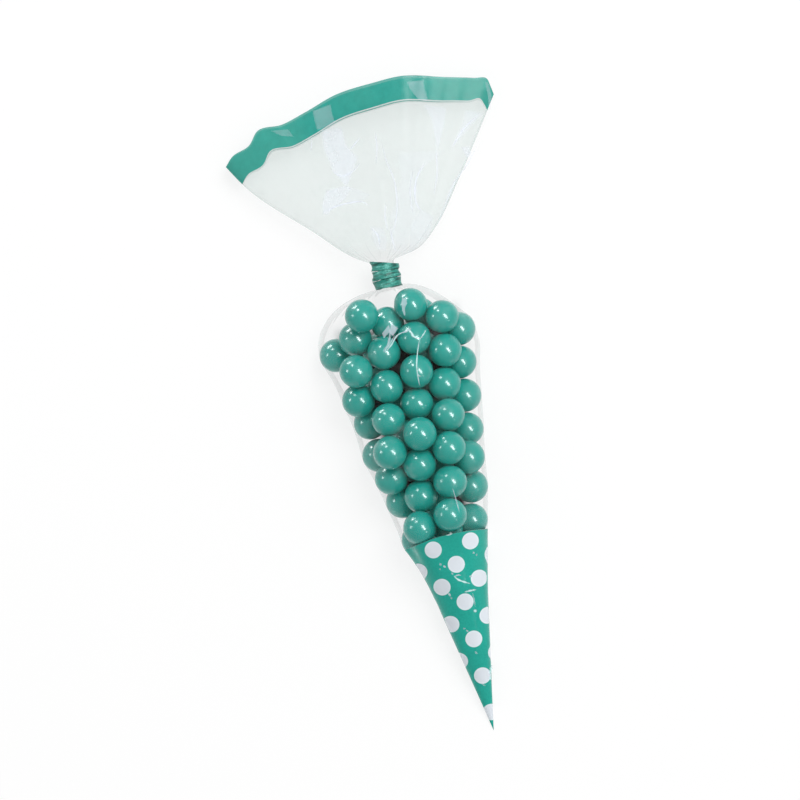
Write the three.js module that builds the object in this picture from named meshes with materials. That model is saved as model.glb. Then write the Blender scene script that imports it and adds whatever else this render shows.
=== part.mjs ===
// A clear cone bag of round sweets, tied shut with a twist tie and lying on a table.
// Units are millimetres. +Y runs from the point of the cone to the mouth, +X is to the
// right seen from above, and +Z is up from the table at zero.
import * as THREE from "three";

// Sweets
const SWEET_DIAMETER = 12.7;
const SWEET_GAP = 0.25;
const SWEET_DETAIL = 2;
const SIDEWAYS = 0.08;
const DRAWN_STEPS = 500;
const PARTED_STEPS = 900;
const SEEN_DRAW = 0.3;
const RIDE_UP = 0.96;

// Film
const FILM_WALL = 0.3;
const FILM_CLEARANCE = 0.5;

// Pouch: a cone whose sides run straight from the point to two shoulders of unlike height
const SIDE_SLOPE = 0.19;
const LEFT_SHOULDER = 160;
const RIGHT_SHOULDER = 146;
const LEFT_ROUNDNESS = 2.1;
const RIGHT_ROUNDNESS = 1.8;
const CROWN_START = 152;
const POUCH_LENGTH = 176.5;
const POUCH_HEIGHT = 26;
const WIDEST_LEVEL = 0.38;

// Neck, where the film is gathered into pleats around a narrow channel
const NECK_RADIUS = 4.2;
const NECK_HEIGHT = 11;
const CHANNEL_RADIUS = 1.4;
const PLEATS = 11;
const PLEAT_SHARE = 0.07;
const PLEAT_REACH = 9;

// Twist tie: a flat strip wound round the neck, with its ends twisted together below it
const TIE_TURNS = 3;
const TIE_WIDTH = 2.9;
const TIE_PITCH = 3.15;
const TIE_THICKNESS = 0.6;
const TIE_CLEARANCE = 0.35;
const TAIL_LENGTH = 6;
const TAIL_WIDTH = 2.8;
const TAIL_THICKNESS = 1.5;
const TAIL_TURNS = 1.75;
const TAIL_BEND = 1.2;
const TIE_END = 0.02;
const TIE_STEP = 0.14;
const TIE_FACETS = 28;

// Fan above the tie, two layers of film that stand a little apart at the mouth
const FAN_LENGTH = 67.5;
const FAN_HALF_WIDTH = 56.5;
const MOUTH_HEIGHT = 13;
const MOUTH_LIFT = 0.6;
const FAN_FOLDS = 17;
const FAN_FOLD_HEIGHT = 0.9;

// Mesh fineness
const AROUND = PLEATS * 4;
const CONE_STEPS = 20;
const CROWN_STEPS = 7;
const NECK_STEPS = 3;
const FAN_STEPS = 9;

const SWEET_RADIUS = SWEET_DIAMETER / 2;
const PITCH = SWEET_DIAMETER + SWEET_GAP;
const FILE_STEP = PITCH * RIDE_UP;
const FILM_TO_SWEET = SWEET_RADIUS + FILM_CLEARANCE + FILM_WALL;
const NECK_LENGTH = (TIE_TURNS - 1) * TIE_PITCH + TIE_WIDTH + 2 * TIE_CLEARANCE;
const NECK_END = POUCH_LENGTH + NECK_LENGTH;

const mix = (a, b, t) => a + (b - a) * t;
const softMin = (a, b, sharp) => a / (1 + (a / b) ** sharp) ** (1 / sharp);
const roundOff = (t, power) => (1 - Math.min(1, Math.max(0, t)) ** power) ** (1 / power);

// The files of sweets. Each runs from a head to a foot, given in steps below the crown and to
// the right of the middle, and then as a level: 0 on the table, 1 at the top. A step is a
// little less than a sweet's pitch, because the sweets ride up over one another.
const SEEN_FILES = [
  { head: [0.75, -1.05, 1], foot: [0.75, -1.05, 1], count: 1 },
  { head: [1.36, -1.4, 0.4], foot: [2.35, -1.54, 1], count: 2 },
  { head: [2.03, -0.61, 1], foot: [4.97, -1.06, 1], count: 4 },
  { head: [0.8, 0.51, 1], foot: [4.72, -0.12, 1], count: 5 },
  { head: [5.64, -0.34, 1], foot: [7.35, -0.69, 0.6], count: 3 },
  { head: [1.34, 1.36, 0.85], foot: [7.21, 0.19, 1], count: 7 },
  { head: [1.93, 1.77, 0.1], foot: [7.52, 0.77, 0], count: 7 },
  { head: [1.66, -2.02, 0], foot: [1.66, -2.02, 0], count: 1 },
  { head: [3.27, -1.65, 0.3], foot: [6.55, -1.08, 0], count: 5 },
  { head: [7.83, -0.9, 0], foot: [7.76, 0.02, 0.4], count: 2 },
  { head: [1.16, -0.34, 0.2], foot: [1.16, -0.34, 0.2], count: 1 },
];
const HIDDEN_FILES = [
  { head: [1.45, 0.6, 0], foot: [6.35, -0.05, 0], count: 6 },
  { head: [2.1, -0.7, 0], foot: [6, -0.75, 0], count: 5 },
  { head: [7.15, -0.1, 0], foot: [7.15, -0.1, 0], count: 1 },
  { head: [8.4, 0.5, 0.2], foot: [8.7, -0.5, 0], count: 2 },
  { head: [9.4, 0, 0.2], foot: [11.3, 0, 0], count: 3 },
];

// Half the pouch's width at a distance from its point, on the left (side -1) or right (side 1)
function halfWidth(along, side) {
  const shoulder = side < 0 ? LEFT_SHOULDER : RIGHT_SHOULDER;
  const roundness = side < 0 ? LEFT_ROUNDNESS : RIGHT_ROUNDNESS;
  const rounded = roundOff((along - shoulder) / (POUCH_LENGTH - shoulder), roundness);
  return mix(NECK_RADIUS, SIDE_SLOPE * Math.min(along, shoulder), rounded);
}

// The pouch's section at a distance from its point: widths to each side of the middle, and
// heights above and below the level where it is widest
function pouchSection(along) {
  const width = halfWidth(along, -1) + halfWidth(along, 1);
  const full = softMin(SIDE_SLOPE * Math.min(along, CROWN_START) * 2, POUCH_HEIGHT, 3);
  const crown = roundOff((along - CROWN_START) / (POUCH_LENGTH - CROWN_START), 2);
  const level = mix(NECK_HEIGHT, full * WIDEST_LEVEL, crown);
  return {
    left: halfWidth(along, -1),
    right: halfWidth(along, 1),
    level,
    up: mix(NECK_RADIUS, full * (1 - WIDEST_LEVEL), crown),
    down: mix(NECK_RADIUS, full * WIDEST_LEVEL * 1.1, crown),
    square: mix(2, 2.35, Math.min(1, width / (6 * NECK_RADIUS)) * crown),
  };
}

// A point on that section at an angle, measured from its middle on the widest level
function sectionPoint(section, angle) {
  const c = Math.cos(angle);
  const s = Math.sin(angle);
  const power = 2 / section.square;
  return {
    x: (c < 0 ? section.left : section.right) * Math.sign(c) * Math.abs(c) ** power,
    z: (s < 0 ? section.down : section.up) * Math.sign(s) * Math.abs(s) ** power,
  };
}

// Where a list of files puts each sweet before the heap settles
function laidSweets(files) {
  const sweets = [];
  for (const { head, foot, count } of files) {
    for (let i = 0; i < count; i++) {
      const [below, right, level] = head.map((value, k) =>
        mix(value, foot[k], count > 1 ? i / (count - 1) : 0),
      );
      const zigzag = (i % 2 ? 1 : -1) * (level > 0.5 ? -1 : 1) * SWEET_GAP;
      sweets.push(
        new THREE.Vector3(
          right * FILE_STEP,
          POUCH_LENGTH - below * FILE_STEP,
          mix(FILM_TO_SWEET, POUCH_HEIGHT - FILM_TO_SWEET, level) - zigzag,
        ),
      );
    }
  }
  return sweets;
}

// Moves every two sweets that are nearer than a pitch apart, mostly up and down
function partSweets(sweets, sideways) {
  const between = new THREE.Vector3();
  for (let i = 0; i < sweets.length; i++) {
    for (let j = i + 1; j < sweets.length; j++) {
      between.subVectors(sweets[j], sweets[i]);
      const distance = between.length();
      if (distance >= PITCH) continue;
      between.multiplyScalar(((PITCH - distance) / distance) * 0.5);
      between.x *= sideways;
      between.y *= sideways;
      sweets[i].sub(between);
      sweets[j].add(between);
    }
  }
  sweets.forEach((sweet) => {
    sweet.z = Math.max(sweet.z, FILM_TO_SWEET);
  });
}

// Lets the heap settle: the sweets that show are drawn to where they were laid while the
// hidden ones make room, and in the end all of them are only parted
function settledSweets() {
  const seen = laidSweets(SEEN_FILES);
  const sweets = [...seen.map((sweet) => sweet.clone()), ...laidSweets(HIDDEN_FILES)];
  for (let step = 0; step < DRAWN_STEPS; step++) {
    seen.forEach((place, i) => sweets[i].lerp(place, SEEN_DRAW));
    partSweets(sweets, SIDEWAYS);
  }
  for (let step = 0; step < PARTED_STEPS; step++) {
    partSweets(sweets, step < PARTED_STEPS / 2 ? SIDEWAYS : 1);
  }
  return sweets;
}

// How far a ray from the middle of a section has to reach to clear every sweet, as a share
// of the section's own reach. A sweet counts as longer and wider by the facets' own size, so
// that the flat facets between the film's points clear it too.
function reachPastSweets(sweets, along, level, point, spacing) {
  const length = Math.hypot(point.x, point.z);
  let reach = length;
  for (const sweet of sweets) {
    const off = Math.max(0, Math.abs(sweet.y - along) - spacing * 0.6);
    if (off >= FILM_TO_SWEET) continue;
    const radius = Math.sqrt(FILM_TO_SWEET ** 2 - off ** 2);
    const dz = sweet.z - level;
    const ahead = (sweet.x * point.x + dz * point.z) / length;
    const across = Math.abs(sweet.x * point.z - dz * point.x) / length;
    const aside = Math.max(0, across - (length * Math.PI) / AROUND / 2);
    if (aside < radius) {
      reach = Math.max(reach, ahead + Math.sqrt(radius ** 2 - aside ** 2));
    }
  }
  return reach / length;
}

// Fills the dips of a grid of reaches as taut film does, and never goes below them
function tautOver(reaches, rounds) {
  const rows = reaches.length;
  let film = reaches.map((row) => row.slice());
  for (let round = 0; round < rounds; round++) {
    film = film.map((row, i) =>
      row.map((value, j) => {
        const before = film[Math.max(0, i - 1)][j];
        const after = film[Math.min(rows - 1, i + 1)][j];
        const left = row[(j + AROUND - 1) % AROUND];
        const right = row[(j + 1) % AROUND];
        return Math.max(reaches[i][j], (before + after + left + right) / 4);
      }),
    );
  }
  return film;
}

const angleOf = (j) => (j / AROUND) * 2 * Math.PI;
const pleat = (angle, distance) =>
  1 + PLEAT_SHARE * Math.cos(PLEATS * angle) * Math.exp(-distance / PLEAT_REACH);

// The rings of the pouch from near its point to its crown
function pouchRings(sweets) {
  const stations = [];
  for (let i = 1; i <= CONE_STEPS; i++) stations.push((CROWN_START * i) / CONE_STEPS);
  for (let i = 1; i <= CROWN_STEPS; i++) {
    const turn = (i / (CROWN_STEPS + 0.5)) * (Math.PI / 2);
    stations.push(mix(CROWN_START, POUCH_LENGTH, Math.sin(turn)));
  }
  const sections = stations.map(pouchSection);
  const points = sections.map((section) =>
    Array.from({ length: AROUND }, (_, j) => sectionPoint(section, angleOf(j))),
  );
  const reaches = points.map((ring, i) => {
    const spacing = stations[i] - (stations[i - 1] ?? 0);
    return ring.map((point) =>
      reachPastSweets(sweets, stations[i], sections[i].level, point, spacing),
    );
  });
  return tautOver(reaches, 6).map((row, i) =>
    row.map((reach, j) => {
      const size = reach * pleat(angleOf(j), POUCH_LENGTH - stations[i]);
      const z = Math.max(0, sections[i].level + points[i][j].z * size);
      return new THREE.Vector3(points[i][j].x * size, stations[i], z);
    }),
  );
}

// The rings of the neck, which the tie goes round
function neckRings() {
  return Array.from({ length: NECK_STEPS + 1 }, (_, i) => {
    const along = mix(POUCH_LENGTH, NECK_END, i / NECK_STEPS);
    return Array.from({ length: AROUND }, (_, j) => {
      const angle = angleOf(j);
      const radius = NECK_RADIUS * pleat(angle, 0) - NECK_RADIUS * PLEAT_SHARE;
      return new THREE.Vector3(
        radius * Math.cos(angle),
        along,
        NECK_HEIGHT + radius * Math.sin(angle),
      );
    });
  });
}

// The fan's outline seen from above, as shares of its length and half width
const spline = (points) =>
  new THREE.SplineCurve(
    points.map(([up, across]) => new THREE.Vector2(across * FAN_HALF_WIDTH, up * FAN_LENGTH)),
  );
const NECK_SHARE = NECK_RADIUS / FAN_HALF_WIDTH;
const LEFT_CORNER = [0.732, -0.897];
const RIGHT_CORNER = [0.785, 1.0];
const LEFT_EDGE = spline([[0, -NECK_SHARE], [0.05, -0.17], [0.26, -0.42], [0.61, -0.81], LEFT_CORNER]);
const RIGHT_EDGE = spline([[0, NECK_SHARE], [0.04, 0.28], [0.13, 0.41], [0.38, 0.65], RIGHT_CORNER]);
const MOUTH_EDGE = spline([
  LEFT_CORNER,
  [0.777, -0.84],
  [0.82, -0.703],
  [0.884, -0.635],
  [0.89, -0.457],
  [0.927, -0.286],
  [0.984, -0.052],
  [0.999, 0.204],
  [1.0, 0.415],
  [0.94, 0.7],
  [0.9, 0.89],
  [0.877, 0.98],
  [0.835, 0.99],
  RIGHT_CORNER,
]);

// A point of the fan seen from above: share 0 at the tie and 1 at the mouth, side 0 at the
// left edge and 1 at the right. The four edges are blended so that all of them are met.
function fanPlan(share, side) {
  const neck = (t) => new THREE.Vector2(mix(-NECK_RADIUS, NECK_RADIUS, t), 0);
  const mouth = (t) => MOUTH_EDGE.getPointAt(t);
  const straight = (t) => neck(t).lerp(mouth(t), share);
  const left = LEFT_EDGE.getPoint(share).sub(straight(0));
  const right = RIGHT_EDGE.getPoint(share).sub(straight(1));
  return straight(side)
    .addScaledVector(left, 1 - side)
    .addScaledVector(right, side);
}

// The rings of the fan from the tie to the mouth
function fanRings() {
  const mouthMiddle = MOUTH_LIFT + MOUTH_HEIGHT / 2;
  return Array.from({ length: FAN_STEPS }, (_, i) => {
    const share = ((i + 1) / FAN_STEPS) ** 1.3;
    return Array.from({ length: AROUND }, (_, j) => {
      const angle = angleOf(j);
      const side = (1 + Math.cos(angle)) / 2;
      const plan = fanPlan(share, side);
      const middle = mix(NECK_HEIGHT, mouthMiddle, share);
      const half = mix(NECK_RADIUS, MOUTH_HEIGHT / 2, share);
      const fold = Math.cos(FAN_FOLDS * side * Math.PI) * FAN_FOLD_HEIGHT * (1 - 0.7 * share);
      const open = (half + fold) * Math.sin(angle);
      return new THREE.Vector3(plan.x, NECK_END + plan.y, middle + open);
    });
  });
}

// Each ring point moved inwards, square to the surface, by its ring's wall
function innerRings(rings, walls) {
  return rings.map((ring, i) =>
    ring.map((point, j) => {
      const before = rings[Math.max(0, i - 1)][j];
      const after = rings[Math.min(rings.length - 1, i + 1)][j];
      const along = new THREE.Vector3().subVectors(after, before);
      const left = ring[(j + AROUND - 1) % AROUND];
      const right = ring[(j + 1) % AROUND];
      const round = new THREE.Vector3().subVectors(right, left);
      const outwards = along.cross(round).normalize();
      return point.clone().addScaledVector(outwards, -walls[i]);
    }),
  );
}

// A closed skin: an outer pole and rings, an inner pole and rings, and the rim between them
function shellGeometry(outer, outerPole, inner, innerPole) {
  const points = [outerPole, ...outer.flat(), innerPole, ...inner.flat()];
  const outerAt = (i, j) => 1 + i * AROUND + (j % AROUND);
  const innerAt = (i, j) => 2 + outer.length * AROUND + i * AROUND + (j % AROUND);
  const innerPoleAt = 1 + outer.length * AROUND;
  const faces = [];
  const quad = (a, b, c, d) => faces.push(a, b, c, a, c, d);
  for (let j = 0; j < AROUND; j++) {
    faces.push(0, outerAt(0, j), outerAt(0, j + 1));
    faces.push(innerPoleAt, innerAt(0, j + 1), innerAt(0, j));
    for (let i = 0; i + 1 < outer.length; i++) {
      quad(outerAt(i, j), outerAt(i + 1, j), outerAt(i + 1, j + 1), outerAt(i, j + 1));
    }
    for (let i = 0; i + 1 < inner.length; i++) {
      quad(innerAt(i, j), innerAt(i, j + 1), innerAt(i + 1, j + 1), innerAt(i + 1, j));
    }
    const rim = outer.length - 1;
    const innerRim = inner.length - 1;
    quad(outerAt(rim, j), innerAt(innerRim, j), innerAt(innerRim, j + 1), outerAt(rim, j + 1));
  }
  const geometry = new THREE.BufferGeometry().setFromPoints(points);
  geometry.setIndex(faces);
  return geometry;
}

// The bag: one sheet of film from the point through the neck to the mouth
function filmGeometry(sweets) {
  const pouch = pouchRings(sweets);
  const neck = neckRings();
  const fan = fanRings();
  const outer = [...pouch, ...neck, ...fan];
  const gathered = NECK_RADIUS - NECK_RADIUS * PLEAT_SHARE - CHANNEL_RADIUS;
  const walls = [
    ...pouch.map(() => FILM_WALL),
    ...neck.map(() => gathered),
    ...fan.map(() => FILM_WALL),
  ];
  const inner = innerRings(outer, walls).slice(1);
  const innerPole = new THREE.Vector3(0, pouch[0][0].y, pouchSection(pouch[0][0].y).level);
  return shellGeometry(outer, new THREE.Vector3(0, 0, 0), inner, innerPole);
}

// A closed strip swept along stations of {middle, across, out, width, thickness}
function stripGeometry(stations) {
  const corners = [[-0.5, -0.5], [0.5, -0.5], [0.5, 0.5], [-0.5, 0.5]];
  const points = stations.flatMap(({ middle, across, out, width, thickness }) =>
    corners.map(([a, b]) =>
      middle
        .clone()
        .addScaledVector(across, a * width)
        .addScaledVector(out, b * thickness),
    ),
  );
  const faces = [0, 1, 2, 0, 2, 3];
  for (let i = 0; i + 1 < stations.length; i++) {
    for (let k = 0; k < 4; k++) {
      const a = i * 4 + k;
      const b = i * 4 + ((k + 1) % 4);
      faces.push(a, a + 4, b, b, a + 4, b + 4);
    }
  }
  const last = (stations.length - 1) * 4;
  faces.push(last, last + 2, last + 1, last, last + 3, last + 2);
  const geometry = new THREE.BufferGeometry().setFromPoints(points);
  geometry.setIndex(faces);
  return geometry;
}

// How far up the neck the strip stands, in turns: each turn lies level over the top of the
// neck, and the strip steps over to the next turn below it
function tieRise(turn) {
  const nearest = Math.min(TIE_TURNS - 1, Math.max(1, Math.round(turn)));
  const step = THREE.MathUtils.smoothstep(turn, nearest - TIE_STEP, nearest + TIE_STEP);
  return nearest - 1 + step;
}

// Carries a strip on from its last station, bending it towards its outer face and twisting it
function carryOn(stations, { length, bend, twist, steps, width, thickness }) {
  const last = stations[stations.length - 1];
  const middle = last.middle.clone();
  const across = last.across.clone();
  const out = last.out.clone();
  const ahead = out.clone().cross(across);
  for (let i = 0; i < steps; i++) {
    out.applyAxisAngle(across, bend / steps);
    ahead.applyAxisAngle(across, bend / steps);
    across.applyAxisAngle(ahead, twist / steps);
    out.applyAxisAngle(ahead, twist / steps);
    middle.addScaledVector(ahead, length / steps);
    stations.push({
      middle: middle.clone(),
      across: across.clone(),
      out: out.clone(),
      width,
      thickness,
    });
  }
}

// The twist tie: side by side turns of flat strip, which then drops below the neck, turns
// back under it and ends in a twisted tail
function tieGeometry() {
  const inside = NECK_RADIUS + TIE_CLEARANCE;
  const start = POUCH_LENGTH + TIE_CLEARANCE + TIE_WIDTH / 2;
  const steps = TIE_TURNS * TIE_FACETS;
  const stations = Array.from({ length: steps + 1 }, (_, i) => {
    const turn = mix(TIE_END, TIE_TURNS - TIE_END, i / steps);
    const angle = turn * 2 * Math.PI - Math.PI / 2;
    const out = new THREE.Vector3(Math.cos(angle), 0, Math.sin(angle));
    const along = start + tieRise(turn) * TIE_PITCH;
    return {
      middle: new THREE.Vector3(0, along, NECK_HEIGHT).addScaledVector(
        out,
        inside + TIE_THICKNESS / 2,
      ),
      across: new THREE.Vector3(0, 1, 0),
      out,
      width: TIE_WIDTH,
      thickness: TIE_THICKNESS,
    };
  });
  const quarter = Math.PI / 2;
  const strip = { width: TIE_WIDTH, thickness: TIE_THICKNESS };
  const low = TAIL_WIDTH * 0.6;
  const drop = NECK_HEIGHT - inside - TIE_THICKNESS / 2 - low - 2 * TAIL_BEND;
  const corner = { ...strip, length: TAIL_BEND * quarter, bend: quarter, twist: 0, steps: 5 };
  carryOn(stations, corner);
  carryOn(stations, { ...strip, length: drop, bend: 0, twist: -quarter, steps: 5 });
  carryOn(stations, corner);
  carryOn(stations, {
    width: TAIL_WIDTH,
    thickness: TAIL_THICKNESS,
    length: TAIL_LENGTH,
    bend: 0,
    twist: TAIL_TURNS * 2 * Math.PI,
    steps: TIE_FACETS,
  });
  return stripGeometry(stations);
}

const FILM = new THREE.MeshStandardMaterial({
  color: 0xe4edec,
  roughness: 0.1,
  metalness: 0,
  transparent: true,
  opacity: 0.3,
  side: THREE.DoubleSide,
});
const CANDY = new THREE.MeshStandardMaterial({ color: 0x2fa392, roughness: 0.22, metalness: 0.05 });
const FOIL = new THREE.MeshStandardMaterial({ color: 0x2a9685, roughness: 0.35, metalness: 0.6 });

function named(name, geometry, material) {
  const mesh = new THREE.Mesh(geometry, material);
  mesh.name = name;
  return mesh;
}

const bag = new THREE.Group();
const sweets = settledSweets();
bag.add(named("film_bag", filmGeometry(sweets), FILM));
bag.add(named("twist_tie", tieGeometry(), FOIL));
sweets.forEach((place, i) => {
  const geometry = new THREE.IcosahedronGeometry(SWEET_RADIUS, SWEET_DETAIL);
  const sweet = named("sweet_" + String(i + 1).padStart(2, "0"), geometry, CANDY);
  sweet.position.copy(place);
  bag.add(sweet);
});

// The part's origin is under the middle of its box, on the table
const box = new THREE.Box3().setFromObject(bag);
bag.children.forEach((mesh) => {
  mesh.position.x -= (box.min.x + box.max.x) / 2;
  mesh.position.y -= (box.min.y + box.max.y) / 2;
});

export default bag;
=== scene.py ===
# %% [markdown]
# # A clear cone bag of teal sweets
# The bag lies on its back on a white table and is seen from straight above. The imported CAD
# model gives every size and place. This file gives the parts their look: thin film that
# shows what is inside it, polished sweets, a crumpled foil tie, and prints on the film.

# %% Load the frame
import math

import bpy
import numpy as np
from mathutils import Matrix, Vector
from mathutils import noise as fold_noise
from mathutils.bvhtree import BVHTree


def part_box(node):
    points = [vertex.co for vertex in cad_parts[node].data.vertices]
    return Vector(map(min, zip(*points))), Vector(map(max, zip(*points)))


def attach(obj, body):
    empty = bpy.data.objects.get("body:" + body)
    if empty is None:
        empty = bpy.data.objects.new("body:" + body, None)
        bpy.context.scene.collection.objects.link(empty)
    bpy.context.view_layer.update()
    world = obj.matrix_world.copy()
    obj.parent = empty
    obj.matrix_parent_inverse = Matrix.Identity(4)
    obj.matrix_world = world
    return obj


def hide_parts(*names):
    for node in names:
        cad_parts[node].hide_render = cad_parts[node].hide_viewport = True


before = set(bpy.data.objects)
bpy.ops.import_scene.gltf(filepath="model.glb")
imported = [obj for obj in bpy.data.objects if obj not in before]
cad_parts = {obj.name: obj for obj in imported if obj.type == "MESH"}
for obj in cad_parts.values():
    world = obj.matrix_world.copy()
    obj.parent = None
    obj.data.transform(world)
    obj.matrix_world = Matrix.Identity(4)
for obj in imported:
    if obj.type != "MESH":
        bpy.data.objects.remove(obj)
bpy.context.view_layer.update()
MM = 0.001
SWEETS = sorted(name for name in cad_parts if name.startswith("sweet_"))
print("sweets in the frame:", len(SWEETS))

# %% [markdown]
# ## Where the bag lies
# The bag's long axis is the frame's Y. The tie sits on that axis, so the middle of its box
# gives the axis, and the low end of the film's box gives the point of the cone.

# %% The bag's own lines
film_low, film_high = (Vector(corner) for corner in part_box("film_bag"))
tie_low, tie_high = (Vector(corner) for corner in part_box("twist_tie"))
TIP_Y = film_low.y
AXIS_X = (tie_low.x + tie_high.x) / 2
print("point of the cone at y", round(TIP_Y, 4), "and axis at x", round(AXIS_X, 4))

# %% [markdown]
# ## The camera
# The photograph looks straight down, with the bag's axis leaning to the left. A long lens
# far above gives the flat view of a product picture. One pixel is 0.385 mm on the table.

# %% Camera
PIXEL = 0.385 * MM
LEAN = math.radians(13.3)
VIEW_ALONG = 133.1 * MM
VIEW_ACROSS = -5.9 * MM
CAMERA_HEIGHT = 1.6
HEAP_LEVEL = 0.012
bpy.ops.object.select_all(action="DESELECT")
bpy.ops.object.camera_add(
    location=(AXIS_X + VIEW_ACROSS, TIP_Y + VIEW_ALONG, HEAP_LEVEL + CAMERA_HEIGHT),
    rotation=(0, 0, -LEAN),
)
camera = bpy.context.object
camera.data.sensor_width = 36
camera.data.lens = 36 * CAMERA_HEIGHT / (800 * PIXEL)
camera.data.clip_end = 20
bpy.context.scene.camera = camera
print("lens", round(camera.data.lens, 1), "mm")


# %% [markdown]
# ## Helpers for materials
# Every finish starts as a material with an empty node tree. These helpers add a node, join
# two sockets and do arithmetic on masks, so that the materials below stay short.

# %% Node helpers
def new_material(name):
    material = bpy.data.materials.new(name)
    material.use_nodes = True
    material.node_tree.nodes.clear()
    return material.node_tree


def add(tree, kind, **values):
    node = tree.nodes.new(kind)
    for key, value in values.items():
        setattr(node, key, value)
    return node


def put(tree, socket, value):
    if isinstance(value, bpy.types.NodeSocket):
        tree.links.new(value, socket)
    else:
        socket.default_value = value


def math_node(tree, operation, a, b=0.0, clamp=False):
    node = add(tree, "ShaderNodeMath", operation=operation, use_clamp=clamp)
    put(tree, node.inputs[0], a)
    put(tree, node.inputs[1], b)
    return node.outputs[0]


def ramp(tree, value, low, high, bottom=0.0, top=1.0):
    node = add(tree, "ShaderNodeMapRange", interpolation_type="SMOOTHSTEP")
    for socket, item in zip(node.inputs, (value, low, high, bottom, top)):
        put(tree, socket, item)
    return node.outputs[0]


def mix_colour(tree, mask, a, b):
    node = add(tree, "ShaderNodeMix", data_type="RGBA")
    put(tree, node.inputs[0], mask)
    put(tree, node.inputs[6], a)
    put(tree, node.inputs[7], b)
    return node.outputs[2]


def noise(tree, place, scale, detail=3.0, roughness=0.5):
    node = add(tree, "ShaderNodeTexNoise")
    put(tree, node.inputs["Vector"], place)
    node.inputs["Scale"].default_value = scale
    node.inputs["Detail"].default_value = detail
    node.inputs["Roughness"].default_value = roughness
    return node.outputs["Fac"]


def linear(red, green, blue):
    """A screen colour of 0 to 255 as the linear colour that the shaders take."""
    parts = [c / 255 for c in (red, green, blue)]
    return [c / 12.92 if c <= 0.04045 else ((c + 0.055) / 1.055) ** 2.4 for c in parts] + [1.0]


TEAL_SHELL = linear(25, 164, 152)
TEAL_PRINT = linear(42, 168, 152)
TEAL_BAND = linear(48, 160, 148)
DOT_WHITE = linear(226, 233, 240)
FAN_TINT = linear(199, 217, 213)
POUCH_TINT = linear(140, 126, 124)
HAZE_AND_SHEEN_TINT = linear(252, 248, 248)
# The foil's own teal, with a painted shade and a painted highlight for its folds.
FOIL_FOLD_SHADE, FOIL_MID = linear(16, 92, 82), linear(40, 142, 128)
FOIL_FOLD_HIGHLIGHT = linear(120, 205, 192)

# %% [markdown]
# ## Uneven colour, one group for every finish
# Neither candy shell nor ink nor foil is one even colour. This group takes a colour and
# breaks it up with two sizes of noise. It is built once, and each material sets its amount.

# %% The mottle group
mottle = bpy.data.node_groups.new("mottle", "ShaderNodeTree")
for name, kind in (("Colour", "NodeSocketColor"), ("Scale", "NodeSocketFloat"),
                   ("Amount", "NodeSocketFloat")):
    mottle.interface.new_socket(name=name, in_out="INPUT", socket_type=kind)
mottle.interface.new_socket(name="Colour", in_out="OUTPUT", socket_type="NodeSocketColor")
mottle.interface.new_socket(name="Height", in_out="OUTPUT", socket_type="NodeSocketFloat")
group_in = add(mottle, "NodeGroupInput")
group_out = add(mottle, "NodeGroupOutput")
place = add(mottle, "ShaderNodeTexCoord").outputs["Object"]
grain = add(mottle, "ShaderNodeTexNoise")
put(mottle, grain.inputs["Vector"], place)
put(mottle, grain.inputs["Scale"], group_in.outputs["Scale"])
grain.inputs["Detail"].default_value = 4
swing = math_node(mottle, "SUBTRACT", grain.outputs["Fac"], 0.5)
swing = math_node(mottle, "MULTIPLY", swing, group_in.outputs["Amount"])
bright = math_node(mottle, "ADD", swing, 1.0)
scaled = add(mottle, "ShaderNodeVectorMath", operation="SCALE")
put(mottle, scaled.inputs[0], group_in.outputs["Colour"])
put(mottle, scaled.inputs["Scale"], bright)
put(mottle, group_out.inputs["Colour"], scaled.outputs[0])
put(mottle, group_out.inputs["Height"], grain.outputs["Fac"])


def mottled(tree, colour, scale, amount):
    node = add(tree, "ShaderNodeGroup", node_tree=mottle)
    put(tree, node.inputs["Colour"], colour)
    node.inputs["Scale"].default_value = scale
    node.inputs["Amount"].default_value = amount
    return node.outputs["Colour"], node.outputs["Height"]


print("mottle group:", len(mottle.nodes), "nodes")

# %% [markdown]
# ## The sweets' finish
# A panned sugar shell is an opaque teal coat polished with wax. It is smooth enough for
# small sharp highlights, with a very faint orange peel from the panning drum.

# %% Candy shell material
candy = new_material("candy_shell")
shell = add(candy, "ShaderNodeBsdfPrincipled")
colour, height = mottled(candy, TEAL_SHELL, 260, 0.16)
put(candy, shell.inputs["Base Color"], colour)
shell.inputs["Roughness"].default_value = 0.38
shell.inputs["Specular IOR Level"].default_value = 0.15
shell.inputs["Coat Weight"].default_value = 1.0
shell.inputs["Coat Roughness"].default_value = 0.19
peel = add(candy, "ShaderNodeBump")
peel.inputs["Strength"].default_value = 0.06
peel.inputs["Distance"].default_value = 0.4 * MM
put(candy, peel.inputs["Height"], height)
put(candy, shell.inputs["Normal"], peel.outputs["Normal"])
out = add(candy, "ShaderNodeOutputMaterial")
put(candy, out.inputs["Surface"], shell.outputs[0])
CANDY = bpy.data.materials["candy_shell"]

# %% [markdown]
# ## The sweets
# The CAD sweets are faceted balls with a small gap between them. Each is replaced by a finely
# divided ball that all but touches its neighbours. No panned sweet is a perfect ball, so
# each is pressed a little along one axis and turned by its own angle.

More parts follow.
